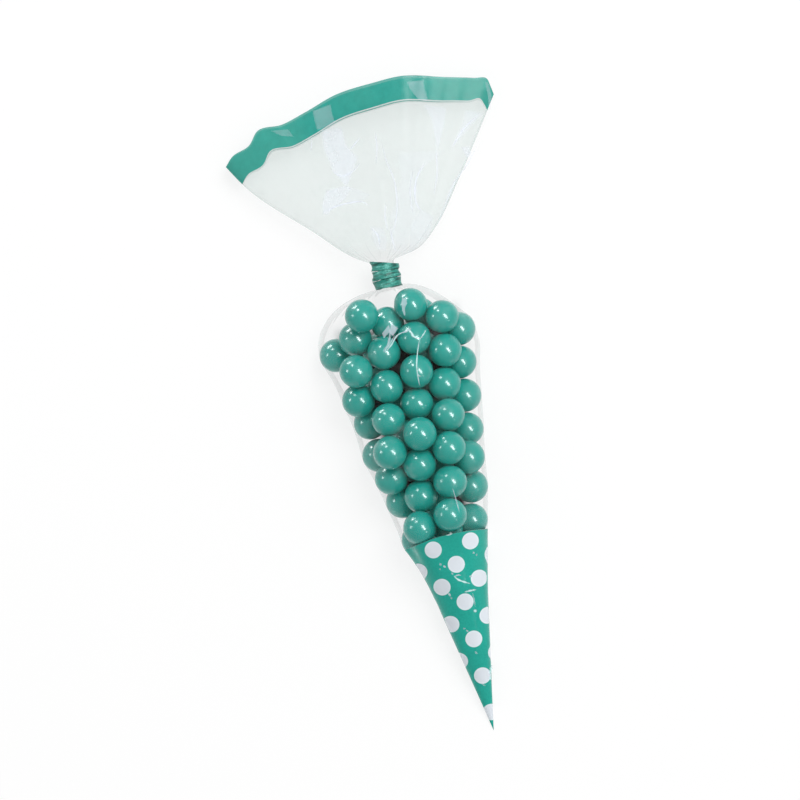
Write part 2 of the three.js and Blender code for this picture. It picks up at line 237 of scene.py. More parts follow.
# %% Model the sweets
SWEET_RADIUS = 6.47 * MM
PRESS, PRESS_SWING = 0.985, 0.012
sweet_places = {}
for number, name in enumerate(SWEETS):
    low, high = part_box(name)
    middle = (Vector(low) + Vector(high)) / 2
    sweet_places[name] = middle
    bpy.ops.object.select_all(action="DESELECT")
    bpy.ops.mesh.primitive_ico_sphere_add(subdivisions=5, radius=SWEET_RADIUS, location=middle)
    ball = bpy.context.object
    ball.name = "ball_" + name[-2:]
    bpy.ops.object.mode_set(mode="EDIT")
    bpy.ops.mesh.select_all(action="SELECT")
    press = PRESS + PRESS_SWING * math.sin(number * 2.4)
    bpy.ops.transform.resize(value=(1, press, 1), center_override=middle)
    bpy.ops.transform.rotate(value=number * 1.9, orient_axis="Z", center_override=middle)
    bpy.ops.object.mode_set(mode="OBJECT")
    bpy.ops.object.shade_smooth()
    bpy.ops.object.transform_apply(location=True, rotation=True, scale=True)
    ball.data.materials.append(CANDY)
    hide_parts(name)
    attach(ball, "root")
print("sweets modelled:", len(sweet_places))

# %% [markdown]
# ## The film's shape
# The real bag is one sheet of film, rolled and sealed to a cone, filled, and gathered at the
# neck. It is made the same way here: a flat grid is added, and each of its points is then
# moved to where the film lies. Its columns run round the bag and its rows run along it.
#
# In the pouch, a point starts on the cone's own section and is pushed out until it clears
# the sweets. The film is then pulled taut between them. In the fan, a point is blended
# between the fan's outline curves, seen from above.

# %% The film's dimensions
SIDE_SLOPE = 0.19
LEFT_SHOULDER, RIGHT_SHOULDER = 160 * MM, 146 * MM
LEFT_ROUNDNESS, RIGHT_ROUNDNESS = 2.1, 1.8
STRAIGHT_TO = 30 * MM
TIP_START = 0.02 * MM
CROWN_START = 152 * MM
POUCH_LENGTH = 176.5 * MM
POUCH_HEIGHT = 26 * MM
WIDEST_LEVEL = 0.38
NECK_RADIUS = 4.2 * MM
NECK_HEIGHT = 11 * MM
NECK_LENGTH = 9.9 * MM
FAN_LENGTH = film_high.y - TIP_Y - POUCH_LENGTH - NECK_LENGTH
FAN_HALF_WIDTH = 56.5 * MM
MOUTH_HEIGHT = 13 * MM
MOUTH_LIFT = 0.6 * MM
FILM_CLEAR = SWEET_RADIUS + 0.13 * MM
COLUMNS = 240
CROWN_ROWS = 60
POUCH_ROWS, NECK_ROWS, FAN_ROWS = 150 + CROWN_ROWS, 16, 150
TAUT_ROUNDS = 260
print("fan length", round(FAN_LENGTH / MM, 1), "mm")


def smooth(t):
    t = np.clip(t, 0, 1)
    return t * t * (3 - 2 * t)


def round_off(t, power):
    return (1 - np.clip(t, 0, 1) ** power) ** (1 / power)


def half_width(along, shoulder, roundness):
    rounded = round_off((along - shoulder) / (POUCH_LENGTH - shoulder), roundness)
    return NECK_RADIUS + (SIDE_SLOPE * np.minimum(along, shoulder) - NECK_RADIUS) * rounded


def soft_min(a, b, sharp):
    return a / (1 + (a / b) ** sharp) ** (1 / sharp)


# %% The pouch, pushed out by the sweets and pulled taut
turn = np.arange(COLUMNS) / COLUMNS * 2 * np.pi
to_neck = np.sin(np.linspace(0, np.pi / 2, CROWN_ROWS + 1))[1:]
stations = np.concatenate([
    np.linspace(TIP_START, CROWN_START, POUCH_ROWS - CROWN_ROWS),
    CROWN_START + (POUCH_LENGTH - CROWN_START) * to_neck,
])
left = half_width(stations, LEFT_SHOULDER, LEFT_ROUNDNESS)
right = half_width(stations, RIGHT_SHOULDER, RIGHT_ROUNDNESS)
left = np.where(stations < STRAIGHT_TO, SIDE_SLOPE * stations, left)
right = np.where(stations < STRAIGHT_TO, SIDE_SLOPE * stations, right)
full = soft_min(SIDE_SLOPE * np.minimum(stations, CROWN_START) * 2, POUCH_HEIGHT, 3)
crown = round_off((stations - CROWN_START) / (POUCH_LENGTH - CROWN_START), 2)
level = NECK_HEIGHT + (full * WIDEST_LEVEL - NECK_HEIGHT) * crown
up = NECK_RADIUS + (full * (1 - WIDEST_LEVEL) - NECK_RADIUS) * crown
down = NECK_RADIUS + (full * WIDEST_LEVEL * 1.1 - NECK_RADIUS) * crown
square = 2 + 0.35 * np.minimum(1, (left + right) / (6 * NECK_RADIUS)) * crown
cos, sin = np.cos(turn)[None, :], np.sin(turn)[None, :]
power = 2 / square[:, None]
sx = np.where(cos < 0, left[:, None], right[:, None]) * np.sign(cos) * np.abs(cos) ** power
sz = np.where(sin < 0, down[:, None], up[:, None]) * np.sign(sin) * np.abs(sin) ** power
length = np.hypot(sx, sz)
reach = length.copy()
for middle in sweet_places.values():
    off = np.abs(middle.y - TIP_Y - stations)[:, None]
    radius = np.sqrt(np.maximum(0, FILM_CLEAR**2 - off**2))
    dx, dz = middle.x - AXIS_X, middle.z - level[:, None]
    ahead = (dx * sx + dz * sz) / length
    aside = np.abs(dx * sz - dz * sx) / length
    hit = (radius > 0) & (aside < radius)
    far = ahead + np.sqrt(np.maximum(0, radius**2 - aside**2))
    reach = np.where(hit, np.maximum(reach, far), reach)
push = reach / length
taut = push.copy()
for _ in range(TAUT_ROUNDS):
    padded_rows = np.vstack([taut[:1], taut, taut[-1:]])
    near = (padded_rows[:-2] + padded_rows[2:] + np.roll(taut, 1, 1) + np.roll(taut, -1, 1)) / 4
    taut = np.maximum(push, near)
pouch_x, pouch_z = sx * taut, level[:, None] + sz * taut
pouch_y = np.repeat(stations[:, None], COLUMNS, 1)
print("pouch rings", pouch_x.shape, "highest", round(float(pouch_z.max()) / MM, 1), "mm")

# %% The neck and the fan
neck_y = np.linspace(0, NECK_LENGTH, NECK_ROWS + 2)[1:-1]


def curve_through(points, t):
    """A smooth curve through points, read at t from 0 to 1 by length along it."""
    points = np.array(points)
    steps = np.concatenate([[0], np.cumsum(np.hypot(*np.diff(points, axis=0).T))])
    fine = np.linspace(0, 1, 400)
    knots = steps / steps[-1]
    slope = np.gradient(points, knots, axis=0)
    spot = np.clip(np.searchsorted(knots, fine, "right") - 1, 0, len(knots) - 2)
    gap = (knots[spot + 1] - knots[spot])[:, None]
    s = ((fine - knots[spot])[:, None]) / gap
    h = (2 * s**3 - 3 * s**2 + 1, s**3 - 2 * s**2 + s, -2 * s**3 + 3 * s**2, s**3 - s**2)
    line = (h[0] * points[spot] + h[1] * gap * slope[spot]
            + h[2] * points[spot + 1] + h[3] * gap * slope[spot + 1])
    run = np.concatenate([[0], np.cumsum(np.hypot(*np.diff(line, axis=0).T))])
    run /= run[-1]
    return np.stack([np.interp(t, run, line[:, 0]), np.interp(t, run, line[:, 1])], -1)


NECK_SHARE = NECK_RADIUS / FAN_HALF_WIDTH
LEFT_CORNER, RIGHT_CORNER = (0.732, -0.897), (0.785, 1.0)
LEFT_EDGE = [(0, -NECK_SHARE), (0.05, -0.17), (0.26, -0.42), (0.61, -0.81), LEFT_CORNER]
RIGHT_EDGE = [(0, NECK_SHARE), (0.04, 0.28), (0.13, 0.41), (0.38, 0.65), RIGHT_CORNER]
MOUTH_EDGE = [LEFT_CORNER, (0.777, -0.84), (0.82, -0.703), (0.884, -0.635), (0.89, -0.457),
              (0.927, -0.286), (0.984, -0.052), (0.999, 0.204), (1.0, 0.415), (0.94, 0.7),
              (0.9, 0.89), (0.877, 0.98), (0.835, 0.99), RIGHT_CORNER]
ROW_SPREAD = 1.15
share = ((np.arange(FAN_ROWS) + 1) / FAN_ROWS) ** ROW_SPREAD
side = (1 + np.cos(turn)) / 2
mouth = curve_through(MOUTH_EDGE, side)
edge_left, edge_right = curve_through(LEFT_EDGE, share), curve_through(RIGHT_EDGE, share)
neck_line = np.stack([np.zeros(COLUMNS), NECK_SHARE * (2 * side - 1)], -1)
straight = neck_line[None] + (mouth - neck_line)[None] * share[:, None, None]
far, near = share[:, None], 1 - share[:, None]
start_left = far * np.array(LEFT_CORNER) + near * np.array([0, -NECK_SHARE])
start_right = far * np.array(RIGHT_CORNER) + near * np.array([0, NECK_SHARE])
plan = (straight + (edge_left - start_left)[:, None] * (1 - side)[None, :, None]
        + (edge_right - start_right)[:, None] * side[None, :, None])
fan_x, fan_y = plan[..., 1] * FAN_HALF_WIDTH, plan[..., 0] * FAN_LENGTH
print("fan width", round(float(fan_x.max() - fan_x.min()) / MM, 1), "mm")

# %% [markdown]
# ## Gathers, folds and creases
# The tie draws the whole width of the sheet into a neck as thick as a finger, so pleats run
# out of it both ways. They are sharp and close together at the neck, and fade over the
# crown and towards the mouth. A sum of a few waves of unlike lengths keeps them irregular.

# %% Pleats and folds
PLEAT_COUNTS = (22, 34, 46)
GATHERS = ((0.055, 4 * MM), (0.006, 14 * MM))
NECK_GROOVE = 0.10
FAN_FOLD, FAN_CRINKLE, FAN_WAVE = 0.8 * MM, 0.5 * MM, 1.5 * MM
LOWEST_POUCH, LOWEST_FAN = 0.05 * MM, 0.3 * MM
rng = np.random.default_rng(7)


def ridges(angle, counts, sharpness):
    """Uneven ridges round the bag: 1 on a ridge and near 0 between ridges."""
    total = np.zeros_like(angle)
    for count in counts:
        phase = rng.uniform(0, 2 * np.pi)
        total = total + np.abs(np.cos(count * angle / 2 + phase)) ** sharpness
    return total / len(counts)


pleat = ridges(turn, PLEAT_COUNTS, 3)[None, :]
below = POUCH_LENGTH - stations[:, None]
gather = sum(deep * np.exp(-below / fade) for deep, fade in GATHERS)
size = 1 + (pleat - 0.45) * gather
pouch_x, pouch_z = pouch_x * size, level[:, None] + (pouch_z - level[:, None]) * size
pouch_z = np.maximum(pouch_z, LOWEST_POUCH)
neck_radius = NECK_RADIUS * (0.93 + NECK_GROOVE * (ridges(turn, PLEAT_COUNTS, 3) - 0.5))
neck_x = np.repeat((neck_radius * np.cos(turn))[None], NECK_ROWS, 0)
neck_z = NECK_HEIGHT + np.repeat((neck_radius * np.sin(turn))[None], NECK_ROWS, 0)
neck_rows_y = np.repeat((POUCH_LENGTH + neck_y)[:, None], COLUMNS, 1)

s = share[:, None]
middle_level = NECK_HEIGHT + (MOUTH_LIFT + MOUTH_HEIGHT / 2 - NECK_HEIGHT) * s
half = NECK_RADIUS + (MOUTH_HEIGHT / 2 - NECK_RADIUS) * s
fold_a = ridges(np.where(turn < np.pi, side * 3.1, 9 - side * 3.3), (19, 31), 4)[None, :]
fold_b = ridges(np.where(turn < np.pi, side * 3.0, 5 + side * 3.1), (53, 71), 2)[None, :]
fold = (fold_a - 0.4) * FAN_FOLD * (1 - 0.7 * s) + (fold_b - 0.5) * FAN_CRINKLE * np.exp(-s * 4)
wave = FAN_WAVE * np.sin(side[None, :] * 9.4 + 0.8 + s) * smooth(s)
fan_z = middle_level + (half + fold * smooth(s * 12)) * np.sin(turn)[None, :]
fan_z = fan_z + wave * np.where(np.sin(turn) > 0, 1, 0.35)[None, :] * np.abs(np.sin(turn))[None]
fan_z = np.maximum(fan_z, LOWEST_FAN)
print("pleats done, fan from", round(float(fan_z.min()) / MM, 1), "to",
      round(float(fan_z.max()) / MM, 1), "mm high")

# %% Where the print runs round the bag
# Seen from above the print lies as if it were flat. Only down the steepest strip at the
# very edge does it follow the film. It is measured from the middle of the top both ways.
TOP = COLUMNS // 4
STEEP, STEEP_BLEND = 0.93, 0.06
OUTER, OUTER_BLEND = 0.9, 0.08
steps_x = np.roll(pouch_x, -1, 1) - pouch_x
steps_z = np.roll(pouch_z, -1, 1) - pouch_z
steep = np.abs(steps_z) / np.maximum(np.hypot(steps_x, steps_z), 1e-9)
edge = np.where(cos < 0, -pouch_x.min(1)[:, None], pouch_x.max(1)[:, None])
at_edge = smooth((np.abs(pouch_x) / edge - OUTER) / OUTER_BLEND)
on_flank = smooth((steep - STEEP) / STEEP_BLEND)
print_step = np.abs(steps_x) + np.abs(steps_z) * on_flank * at_edge
print_across = np.zeros_like(pouch_x)
for column in range(1, COLUMNS // 2 + 1):
    here, before = (TOP - column) % COLUMNS, (TOP - column + 1) % COLUMNS
    print_across[:, here] = print_across[:, before] + print_step[:, here]
for column in range(TOP + 1, TOP + COLUMNS // 2):
    print_across[:, column] = print_across[:, column - 1] - print_step[:, column - 1]
print_across += pouch_x[:, TOP:TOP + 1]
print_across = np.vstack([print_across, np.zeros((NECK_ROWS + FAN_ROWS, COLUMNS))])

# %% Lay the sheet out and move its points
# The band is narrower at the right corner of the mouth, where the film curls under.
CORNER_NARROWING = 0.35
rows = POUCH_ROWS + NECK_ROWS + FAN_ROWS
bpy.ops.object.select_all(action="DESELECT")
bpy.ops.mesh.primitive_grid_add(x_subdivisions=COLUMNS, y_subdivisions=rows - 1, size=1)
film = bpy.context.object
film.name = "clear_film"
xs = np.vstack([pouch_x, neck_x, fan_x])
ys = np.vstack([pouch_y, neck_rows_y, POUCH_LENGTH + NECK_LENGTH + fan_y])
zs = np.vstack([pouch_z, neck_z, fan_z])


def wrap(grid):
    """The grid with its first column repeated after its last, which closes the ring."""
    return np.hstack([grid, grid[:, :1]])


points = np.stack([wrap(xs) + AXIS_X, wrap(ys) + TIP_Y, wrap(zs)], -1).reshape(-1, 3)
film.data.vertices.foreach_set("co", points.ravel())
gap_to_mouth = np.vstack([
    np.full((POUCH_ROWS + NECK_ROWS, COLUMNS), 1.0),
    np.hypot(fan_x - fan_x[-1:], fan_y - fan_y[-1:]),
])
gap_to_mouth *= 1 + CORNER_NARROWING * smooth((side - 0.92) / 0.08)
for name, grid in (("to_mouth", gap_to_mouth), ("print_across", print_across)):
    layer = film.data.attributes.new(name, "FLOAT", "POINT")
    layer.data.foreach_set("value", wrap(grid).ravel())
film.data.update()
bpy.ops.object.mode_set(mode="EDIT")
bpy.ops.mesh.select_all(action="SELECT")
bpy.ops.mesh.remove_doubles(threshold=0.01 * MM)
bpy.ops.mesh.normals_make_consistent(inside=False)
bpy.ops.object.mode_set(mode="OBJECT")
bpy.ops.object.shade_smooth()
print("film points", len(film.data.vertices))

# %% [markdown]
# ## The film's finish
# Clear film is nearly invisible face on and reflects more at a slant, and its colour is
# also painted paler at a slant, a painted sheen. One material covers the sheet, because the
# teal point, the dots and the band are ink on the same film. Masks in real millimetres say
# where the ink is. Alpha is low on bare film, a little higher at a slant and in cloudy
# patches, and nearly full on ink.

# %% Film material
PRINT_TOP = 79.0 * MM
PRINT_ARCH = 8.8
BAND_WIDTH = 9.2 * MM
DOT_RADIUS = 3.25 * MM
DOT_PITCH = 14.65 * MM
DOT_ROW = 7.45 * MM
DOT_ALONG, DOT_ACROSS = 22.3 * MM, 0.6 * MM
BARE_ALPHA, SLANT_ALPHA, FAN_ALPHA, CLOUD_ALPHA = 0.025, 0.18, 0.16, 0.05
POINT_ALPHA, BAND_ALPHA, BAND_HIGHLIGHT_ALPHA = 0.97, 0.88, 0.55

sheet = new_material("bag_film")
place = add(sheet, "ShaderNodeTexCoord").outputs["Object"]
split = add(sheet, "ShaderNodeSeparateXYZ")
put(sheet, split.inputs[0], place)
across = math_node(sheet, "SUBTRACT", split.outputs["X"], AXIS_X)
along = math_node(sheet, "SUBTRACT", split.outputs["Y"], TIP_Y)
squared = math_node(sheet, "MULTIPLY", across, across)
arched = math_node(sheet, "ADD", along, math_node(sheet, "MULTIPLY", squared, PRINT_ARCH))
point_ink = ramp(sheet, arched, PRINT_TOP + 0.15 * MM, PRINT_TOP - 0.15 * MM)
print_place = add(sheet, "ShaderNodeAttribute", attribute_name="print_across").outputs["Fac"]


def dots(tree, shift_along, shift_across):
    """How far it is to the nearest dot of a grid of one pitch across and two rows along."""
    u = math_node(tree, "ADD", print_place, shift_across + DOT_PITCH / 2 - DOT_ACROSS)
    v = math_node(tree, "ADD", along, shift_along + DOT_ROW - DOT_ALONG)
    u = math_node(tree, "FLOORED_MODULO", u, DOT_PITCH)
    v = math_node(tree, "FLOORED_MODULO", v, 2 * DOT_ROW)
    u = math_node(tree, "SUBTRACT", u, DOT_PITCH / 2)
    v = math_node(tree, "SUBTRACT", v, DOT_ROW)
    u, v = math_node(tree, "MULTIPLY", u, u), math_node(tree, "MULTIPLY", v, v)
    return math_node(tree, "SQRT", math_node(tree, "ADD", u, v))


nearest = math_node(sheet, "MINIMUM", dots(sheet, 0, 0), dots(sheet, DOT_ROW, DOT_PITCH / 2))
dot_ink = ramp(sheet, nearest, DOT_RADIUS + 0.12 * MM, DOT_RADIUS - 0.12 * MM)
dot_rim = ramp(sheet, nearest, DOT_RADIUS - 0.8 * MM, DOT_RADIUS - 0.2 * MM, 0.0, 0.45)
to_mouth = add(sheet, "ShaderNodeAttribute", attribute_name="to_mouth").outputs["Fac"]
band_ink = ramp(sheet, to_mouth, BAND_WIDTH + 0.1 * MM, BAND_WIDTH - 0.1 * MM)
# A thin white line just beyond the band's edge: a painted highlight.
band_edge_highlight = ramp(sheet, to_mouth, BAND_WIDTH + 0.55 * MM, BAND_WIDTH + 0.35 * MM)

in_fan = ramp(sheet, along, POUCH_LENGTH, POUCH_LENGTH + 20 * MM)
haze = noise(sheet, place, 90, 4, 0.6)
patchy = ramp(sheet, haze, 0.5, 0.75)
print_colour, _ = mottled(sheet, TEAL_PRINT, 1300, 0.34)
band_colour, _ = mottled(sheet, TEAL_BAND, 400, 0.3)
pale = ramp(sheet, noise(sheet, place, 26, 2, 0.5), 0.42, 0.6, 0.0, 0.3)
band_colour = mix_colour(sheet, pale, band_colour, linear(82, 170, 154))
dot_colour = mix_colour(sheet, dot_rim, DOT_WHITE, linear(232, 246, 250))
facing = add(sheet, "ShaderNodeLayerWeight").outputs["Facing"]
# Paler at a slant, a painted sheen, and in random cloudy patches, the film's own haze.
haze_and_painted_sheen = math_node(sheet, "MAXIMUM", ramp(sheet, facing, 0.2, 0.65), patchy)
pouch_tint = mix_colour(sheet, haze_and_painted_sheen, POUCH_TINT, HAZE_AND_SHEEN_TINT)
tint = mix_colour(sheet, in_fan, pouch_tint, FAN_TINT)
colour = mix_colour(sheet, point_ink, tint, print_colour)
colour = mix_colour(sheet, math_node(sheet, "MULTIPLY", point_ink, dot_ink), colour, dot_colour)
# Painted highlight along the band's edge.
colour = mix_colour(sheet, band_edge_highlight, colour, linear(250, 253, 253))
colour = mix_colour(sheet, band_ink, colour, band_colour)

fresnel = add(sheet, "ShaderNodeFresnel")
fresnel.inputs["IOR"].default_value = 1.45
alpha = BARE_ALPHA
for mask, most in ((fresnel.outputs[0], SLANT_ALPHA), (in_fan, FAN_ALPHA),
                   (patchy, CLOUD_ALPHA)):
    alpha = math_node(sheet, "ADD", alpha, math_node(sheet, "MULTIPLY", mask, most))
for mask, most in ((point_ink, POINT_ALPHA), (band_edge_highlight, BAND_HIGHLIGHT_ALPHA), (band_ink, BAND_ALPHA)):
    covered = math_node(sheet, "MULTIPLY", mask, most)
    alpha = math_node(sheet, "MAXIMUM", alpha, covered, clamp=True)

skin = add(sheet, "ShaderNodeBsdfPrincipled")
put(sheet, skin.inputs["Base Color"], colour)
skin.inputs["Roughness"].default_value = 0.2
inked = math_node(sheet, "MAXIMUM", in_fan, point_ink)
put(sheet, skin.inputs["Specular IOR Level"], ramp(sheet, inked, 0.0, 0.3, 0.3, 0.07))
put(sheet, skin.inputs["Alpha"], alpha)
crinkle = add(sheet, "ShaderNodeBump")
crinkle.inputs["Strength"].default_value = 0.14
crinkle.inputs["Distance"].default_value = 0.3 * MM
put(sheet, crinkle.inputs["Height"], noise(sheet, place, 240, 3, 0.55))
put(sheet, skin.inputs["Normal"], crinkle.outputs["Normal"])
out = add(sheet, "ShaderNodeOutputMaterial")
put(sheet, out.inputs["Surface"], skin.outputs[0])
film.data.materials.append(bpy.data.materials["bag_film"])
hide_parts("film_bag")
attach(film, "root")
print("film nodes", len(sheet.nodes))

# %% [markdown]
# ## Painted glints and sheen on the film
# White lines and pale patches are painted onto the film where it catches the lamps: painted
# highlights along its creases and painted reflections on its flat facets. The larger ones are
# traced from the photograph, in its own pixels. Each is a small grid laid onto the film from
# above. A line runs along points just over the film and tapers to its ends. A patch lies
# between a left and a right edge, evened out and high enough to clear the folds.

# %% Painted glint lines: points, half width in millimetres, strength
PAINTED_GLINT_LINES = [
    # over the sweets
    ([(383, 352), (388, 345), (390, 334), (389, 326)], 0.5, 0.45),
    ([(385, 353.5), (391, 346), (398, 335.5), (405, 332)], 0.35, 0.75),
    ([(383.5, 353), (389.5, 345), (395, 335.5)], 0.25, 0.6),
    ([(402, 333.5), (408, 331), (411, 329)], 0.45, 0.55),
    ([(407, 329), (411, 333), (413, 336.5), (420, 339.5)], 0.5, 0.85),
    ([(420, 339.5), (422.5, 336), (426, 330.5)], 0.3, 0.8),
    ([(419.3, 340), (417.5, 352), (416.5, 366), (417.3, 374), (419.5, 386)], 0.3, 0.8),
    ([(417, 373), (419, 376), (421.5, 376.5)], 0.25, 0.6),
    ([(452, 487), (455, 497), (459, 512)], 0.25, 0.5),
    # on the printed point
    ([(453.5, 574.5), (457, 578), (463, 580.5), (470, 582.7)], 0.41, 0.95),
    ([(454, 575.5), (457.5, 574), (461, 574)], 0.36, 0.57),
    ([(464, 591), (470, 589.7), (476, 588.8)], 0.43, 0.86),
    ([(472, 592), (474, 600), (475, 606)], 0.29, 0.40),
    ([(473.5, 609.5), (476.5, 611)], 0.65, 0.80),
    ([(448, 592), (450.5, 595.5)], 0.51, 0.69), ([(450.5, 596.5), (452, 598)], 0.43, 0.40),
    ([(443, 564.5), (445.5, 566.5)], 0.51, 0.57), ([(439, 562.5), (441.5, 564)], 0.51, 0.40),
    ([(439, 568.5), (440.5, 568)], 0.43, 0.34), ([(469, 575), (471.5, 576)], 0.51, 0.52),
    ([(451, 571.5), (453, 573.5)], 0.36, 0.57), ([(472.5, 551), (474, 553)], 0.51, 0.34),
    ([(475.5, 553.5), (477, 555)], 0.43, 0.34), ([(463, 628.5), (465.5, 627.5)], 0.43, 0.34),
    ([(466, 629.5), (468.5, 631.5)], 0.43, 0.46),
    ([(492.3, 666), (491, 671), (489.5, 676)], 0.6, 0.8),
    ([(489.5, 676), (490.5, 679), (491.5, 681.5)], 0.5, 0.7),
    ([(482, 684.5), (486, 687)], 0.3, 0.35), ([(475, 651), (477, 654)], 0.5, 0.35),
    # on the fan
    ([(425, 163), (418, 175), (415, 190), (417, 205), (422, 212)], 0.45, 0.55),
    ([(381, 140), (386, 160), (394, 180), (397, 200), (395, 225), (390, 240)], 0.4, 0.42),
    ([(350, 150), (360, 138)], 0.4, 0.5), ([(375, 131), (377, 148), (376, 165)], 0.4, 0.38),
    ([(322, 213), (335, 207), (350, 203), (362, 202), (369, 206)], 0.45, 0.55),
    ([(330, 168), (340, 176), (352, 172), (360, 163)], 0.4, 0.5),
    ([(452, 147), (466, 126), (478, 115)], 0.4, 0.5),
    ([(480, 137), (470, 160), (455, 182), (445, 206), (437, 226)], 0.4, 0.42),
    ([(436, 148), (437, 175), (434, 195)], 0.42, 0.42),
    ([(413, 170), (410, 190), (413, 215)], 0.3, 0.38),
    ([(388, 232), (385, 215), (386, 203)], 0.4, 0.42),
    ([(396, 252), (392, 238), (390, 226)], 0.42, 0.42),
    ([(371, 228), (378, 236), (380, 248)], 0.42, 0.42), ([(312, 138), (311, 152)], 0.35, 0.38),
]

# %% Painted sheen patches: left edge, right edge, strength
PAINTED_SHINE_PATCHES = [
    # over the sweets
    ([(382, 334), (389, 325)], [(384, 339.5), (390.5, 332)], 0.42),
    ([(391, 323), (389.5, 334)], [(398.5, 329), (393, 337)], 0.5),
    ([(402, 299), (401, 305), (402, 311), (404.5, 317)],
     [(406, 298), (407.5, 304), (405, 309), (405.5, 317)], 0.38),
    # on the fan
    ([(321, 129), (323, 150), (331, 168), (341, 181), (346, 187)],
     [(342, 126), (347, 145), (359, 158), (353, 173), (347, 187)], 0.32),
    ([(347, 186), (326, 190), (322, 204), (323, 215)],
     [(353, 187), (346, 200), (335, 208), (327, 216)], 0.3),
    ([(396, 150), (400, 180), (396, 202), (389, 216), (390, 255)],
     [(450, 150), (427, 165), (416, 182), (421, 208), (405, 257)], 0.12),
    ([(421, 208), (411, 225), (408, 255)], [(434, 216), (430, 236), (412, 252)], 0.16),
    ([(422, 104), (431, 120), (437, 150)], [(447, 107), (445, 124), (438, 150)], 0.24),
    ([(465, 109), (463, 121), (452, 146)], [(485, 112), (474, 123), (453, 147)], 0.2),
    ([(461, 147), (467, 158)], [(469, 146), (473, 155)], 0.3),
    ([(352, 187), (345, 202)], [(372, 195), (362, 203)], 0.15),
    ([(370, 226), (372, 240), (378, 250)], [(384, 228), (388, 240), (386, 252)], 0.17),
    # on the band
    ([(406, 82), (411, 92), (419, 101)], [(424, 80), (425, 90), (429, 102)], 0.2),
    ([(312, 111), (314, 121), (317, 131)], [(331, 104), (333, 114), (336, 124)], 0.2),
    ([(270, 131), (281, 136)], [(289, 129), (294, 137)], 0.14),
    ([(485, 82), (488, 95), (489, 109)], [(488, 81), (492, 95), (491, 110)], 0.2),
]

# %% Lay them onto the film
OVER_FILM, OVER_FOLDS = 0.1 * MM, 0.9 * MM
EVENING_ROUNDS = 30
RAY_START = 0.08


def on_photo(pixels):
    """Where pixels of the photograph lie, in the frame's x and y."""
    right, up = (np.array(pixels, float) - 400).T * PIXEL * np.array([[1], [-1]])
    x = camera.location.x + right * math.cos(LEAN) + up * math.sin(LEAN)
    return np.stack([x, camera.location.y - right * math.sin(LEAN) + up * math.cos(LEAN)], -1)


def broken_line(points, t):
    """A line with straight pieces between points, read at t from 0 to 1 by length along it."""
    run = np.concatenate([[0], np.cumsum(np.hypot(*np.diff(points, axis=0).T))])
    return np.stack([np.interp(t * run[-1], run, points[:, axis]) for axis in (0, 1)], -1)


film_tree = BVHTree.FromObject(film, bpy.context.evaluated_depsgraph_get())


def lay_grid(spots, painted_shine, over, evened):
    """A grid of the given places that lies on the film, with how strong its painted shine is at
    each.
    """
    rows, lanes = spots.shape[:2]
    bpy.ops.mesh.primitive_grid_add(x_subdivisions=lanes - 1, y_subdivisions=rows - 1, size=1)
    piece = bpy.context.object
    levels, level = np.zeros(rows * lanes), NECK_HEIGHT
    for index, (x, y) in enumerate(spots.reshape(-1, 2)):
        hit = film_tree.ray_cast(Vector((x, y, RAY_START)), Vector((0, 0, -1)))[0]
        level = levels[index] = hit.z if hit else level
    levels = levels.reshape(rows, lanes)
    for _ in range(evened):
        for axis in (0, 1):
            padded = np.pad(levels, [(1, 1) if axis == a else (0, 0) for a in (0, 1)], "edge")
            before = np.delete(padded, [-1, -2], axis)
            after = np.delete(padded, [0, 1], axis)
            levels = (levels + before + after) / 3
    points = np.dstack([spots, levels + over])
    piece.data.vertices.foreach_set("co", points.ravel())
    layer = piece.data.attributes.new("painted_shine", "FLOAT", "POINT")
    layer.data.foreach_set("value", painted_shine.ravel())
    return piece


def lay_glint_line(points, half, strength):
    t, lane = np.linspace(0, 1, 37), np.linspace(-1, 1, 5)
    line = curve_through(on_photo(points), t)
    run = np.gradient(line, axis=0)
    aside = np.stack([-run[:, 1], run[:, 0]], -1) / np.hypot(*run.T)[:, None]
    uneven = 1 + 0.2 * np.sin(t * 19 + points[0][0])
    width = half * MM * (0.15 + 0.85 * np.sin(np.pi * t) ** 0.6) * uneven
    spots = line[:, None] + aside[:, None] * (width[:, None] * lane)[..., None]
    fade = 0.35 + 0.65 * np.sin(np.pi * t) ** 0.5
    painted_shine = strength * (1 - 0.9 * lane**4)[None] * fade[:, None]
    return lay_grid(spots, painted_shine, OVER_FILM, 0)


def lay_shine_patch(left_edge, right_edge, strength):
    t, lane = np.linspace(0, 1, 31), np.linspace(0, 1, 17)
    first, last = broken_line(on_photo(left_edge), t), broken_line(on_photo(right_edge), t)
    spots = first[:, None] + (last - first)[:, None] * lane[None, :, None]
    from_sides = np.minimum(1, np.minimum(lane, 1 - lane) * 12)
    from_ends = np.minimum(1, np.minimum(t, 1 - t) * 20)
    painted_shine = strength * from_sides[None] * from_ends[:, None]
    return lay_grid(spots, painted_shine, OVER_FOLDS, EVENING_ROUNDS)


bpy.ops.object.select_all(action="DESELECT")
pieces = [lay_glint_line(*glint_line) for glint_line in PAINTED_GLINT_LINES] + [lay_shine_patch(*shine_patch) for shine_patch in PAINTED_SHINE_PATCHES]
for piece in pieces:
    piece.select_set(True)
bpy.context.view_layer.objects.active = pieces[0]
bpy.ops.object.join()
painted_glints = bpy.context.object
painted_glints.name = "painted_glints"
bpy.ops.object.mode_set(mode="EDIT")
bpy.ops.mesh.select_all(action="SELECT")
bpy.ops.mesh.normals_make_consistent(inside=False)
bpy.ops.object.mode_set(mode="OBJECT")
bpy.ops.object.shade_smooth()
bpy.ops.object.transform_apply(location=True, rotation=True, scale=True)
print("marks on the film:", len(pieces), "with", len(painted_glints.data.polygons), "faces")
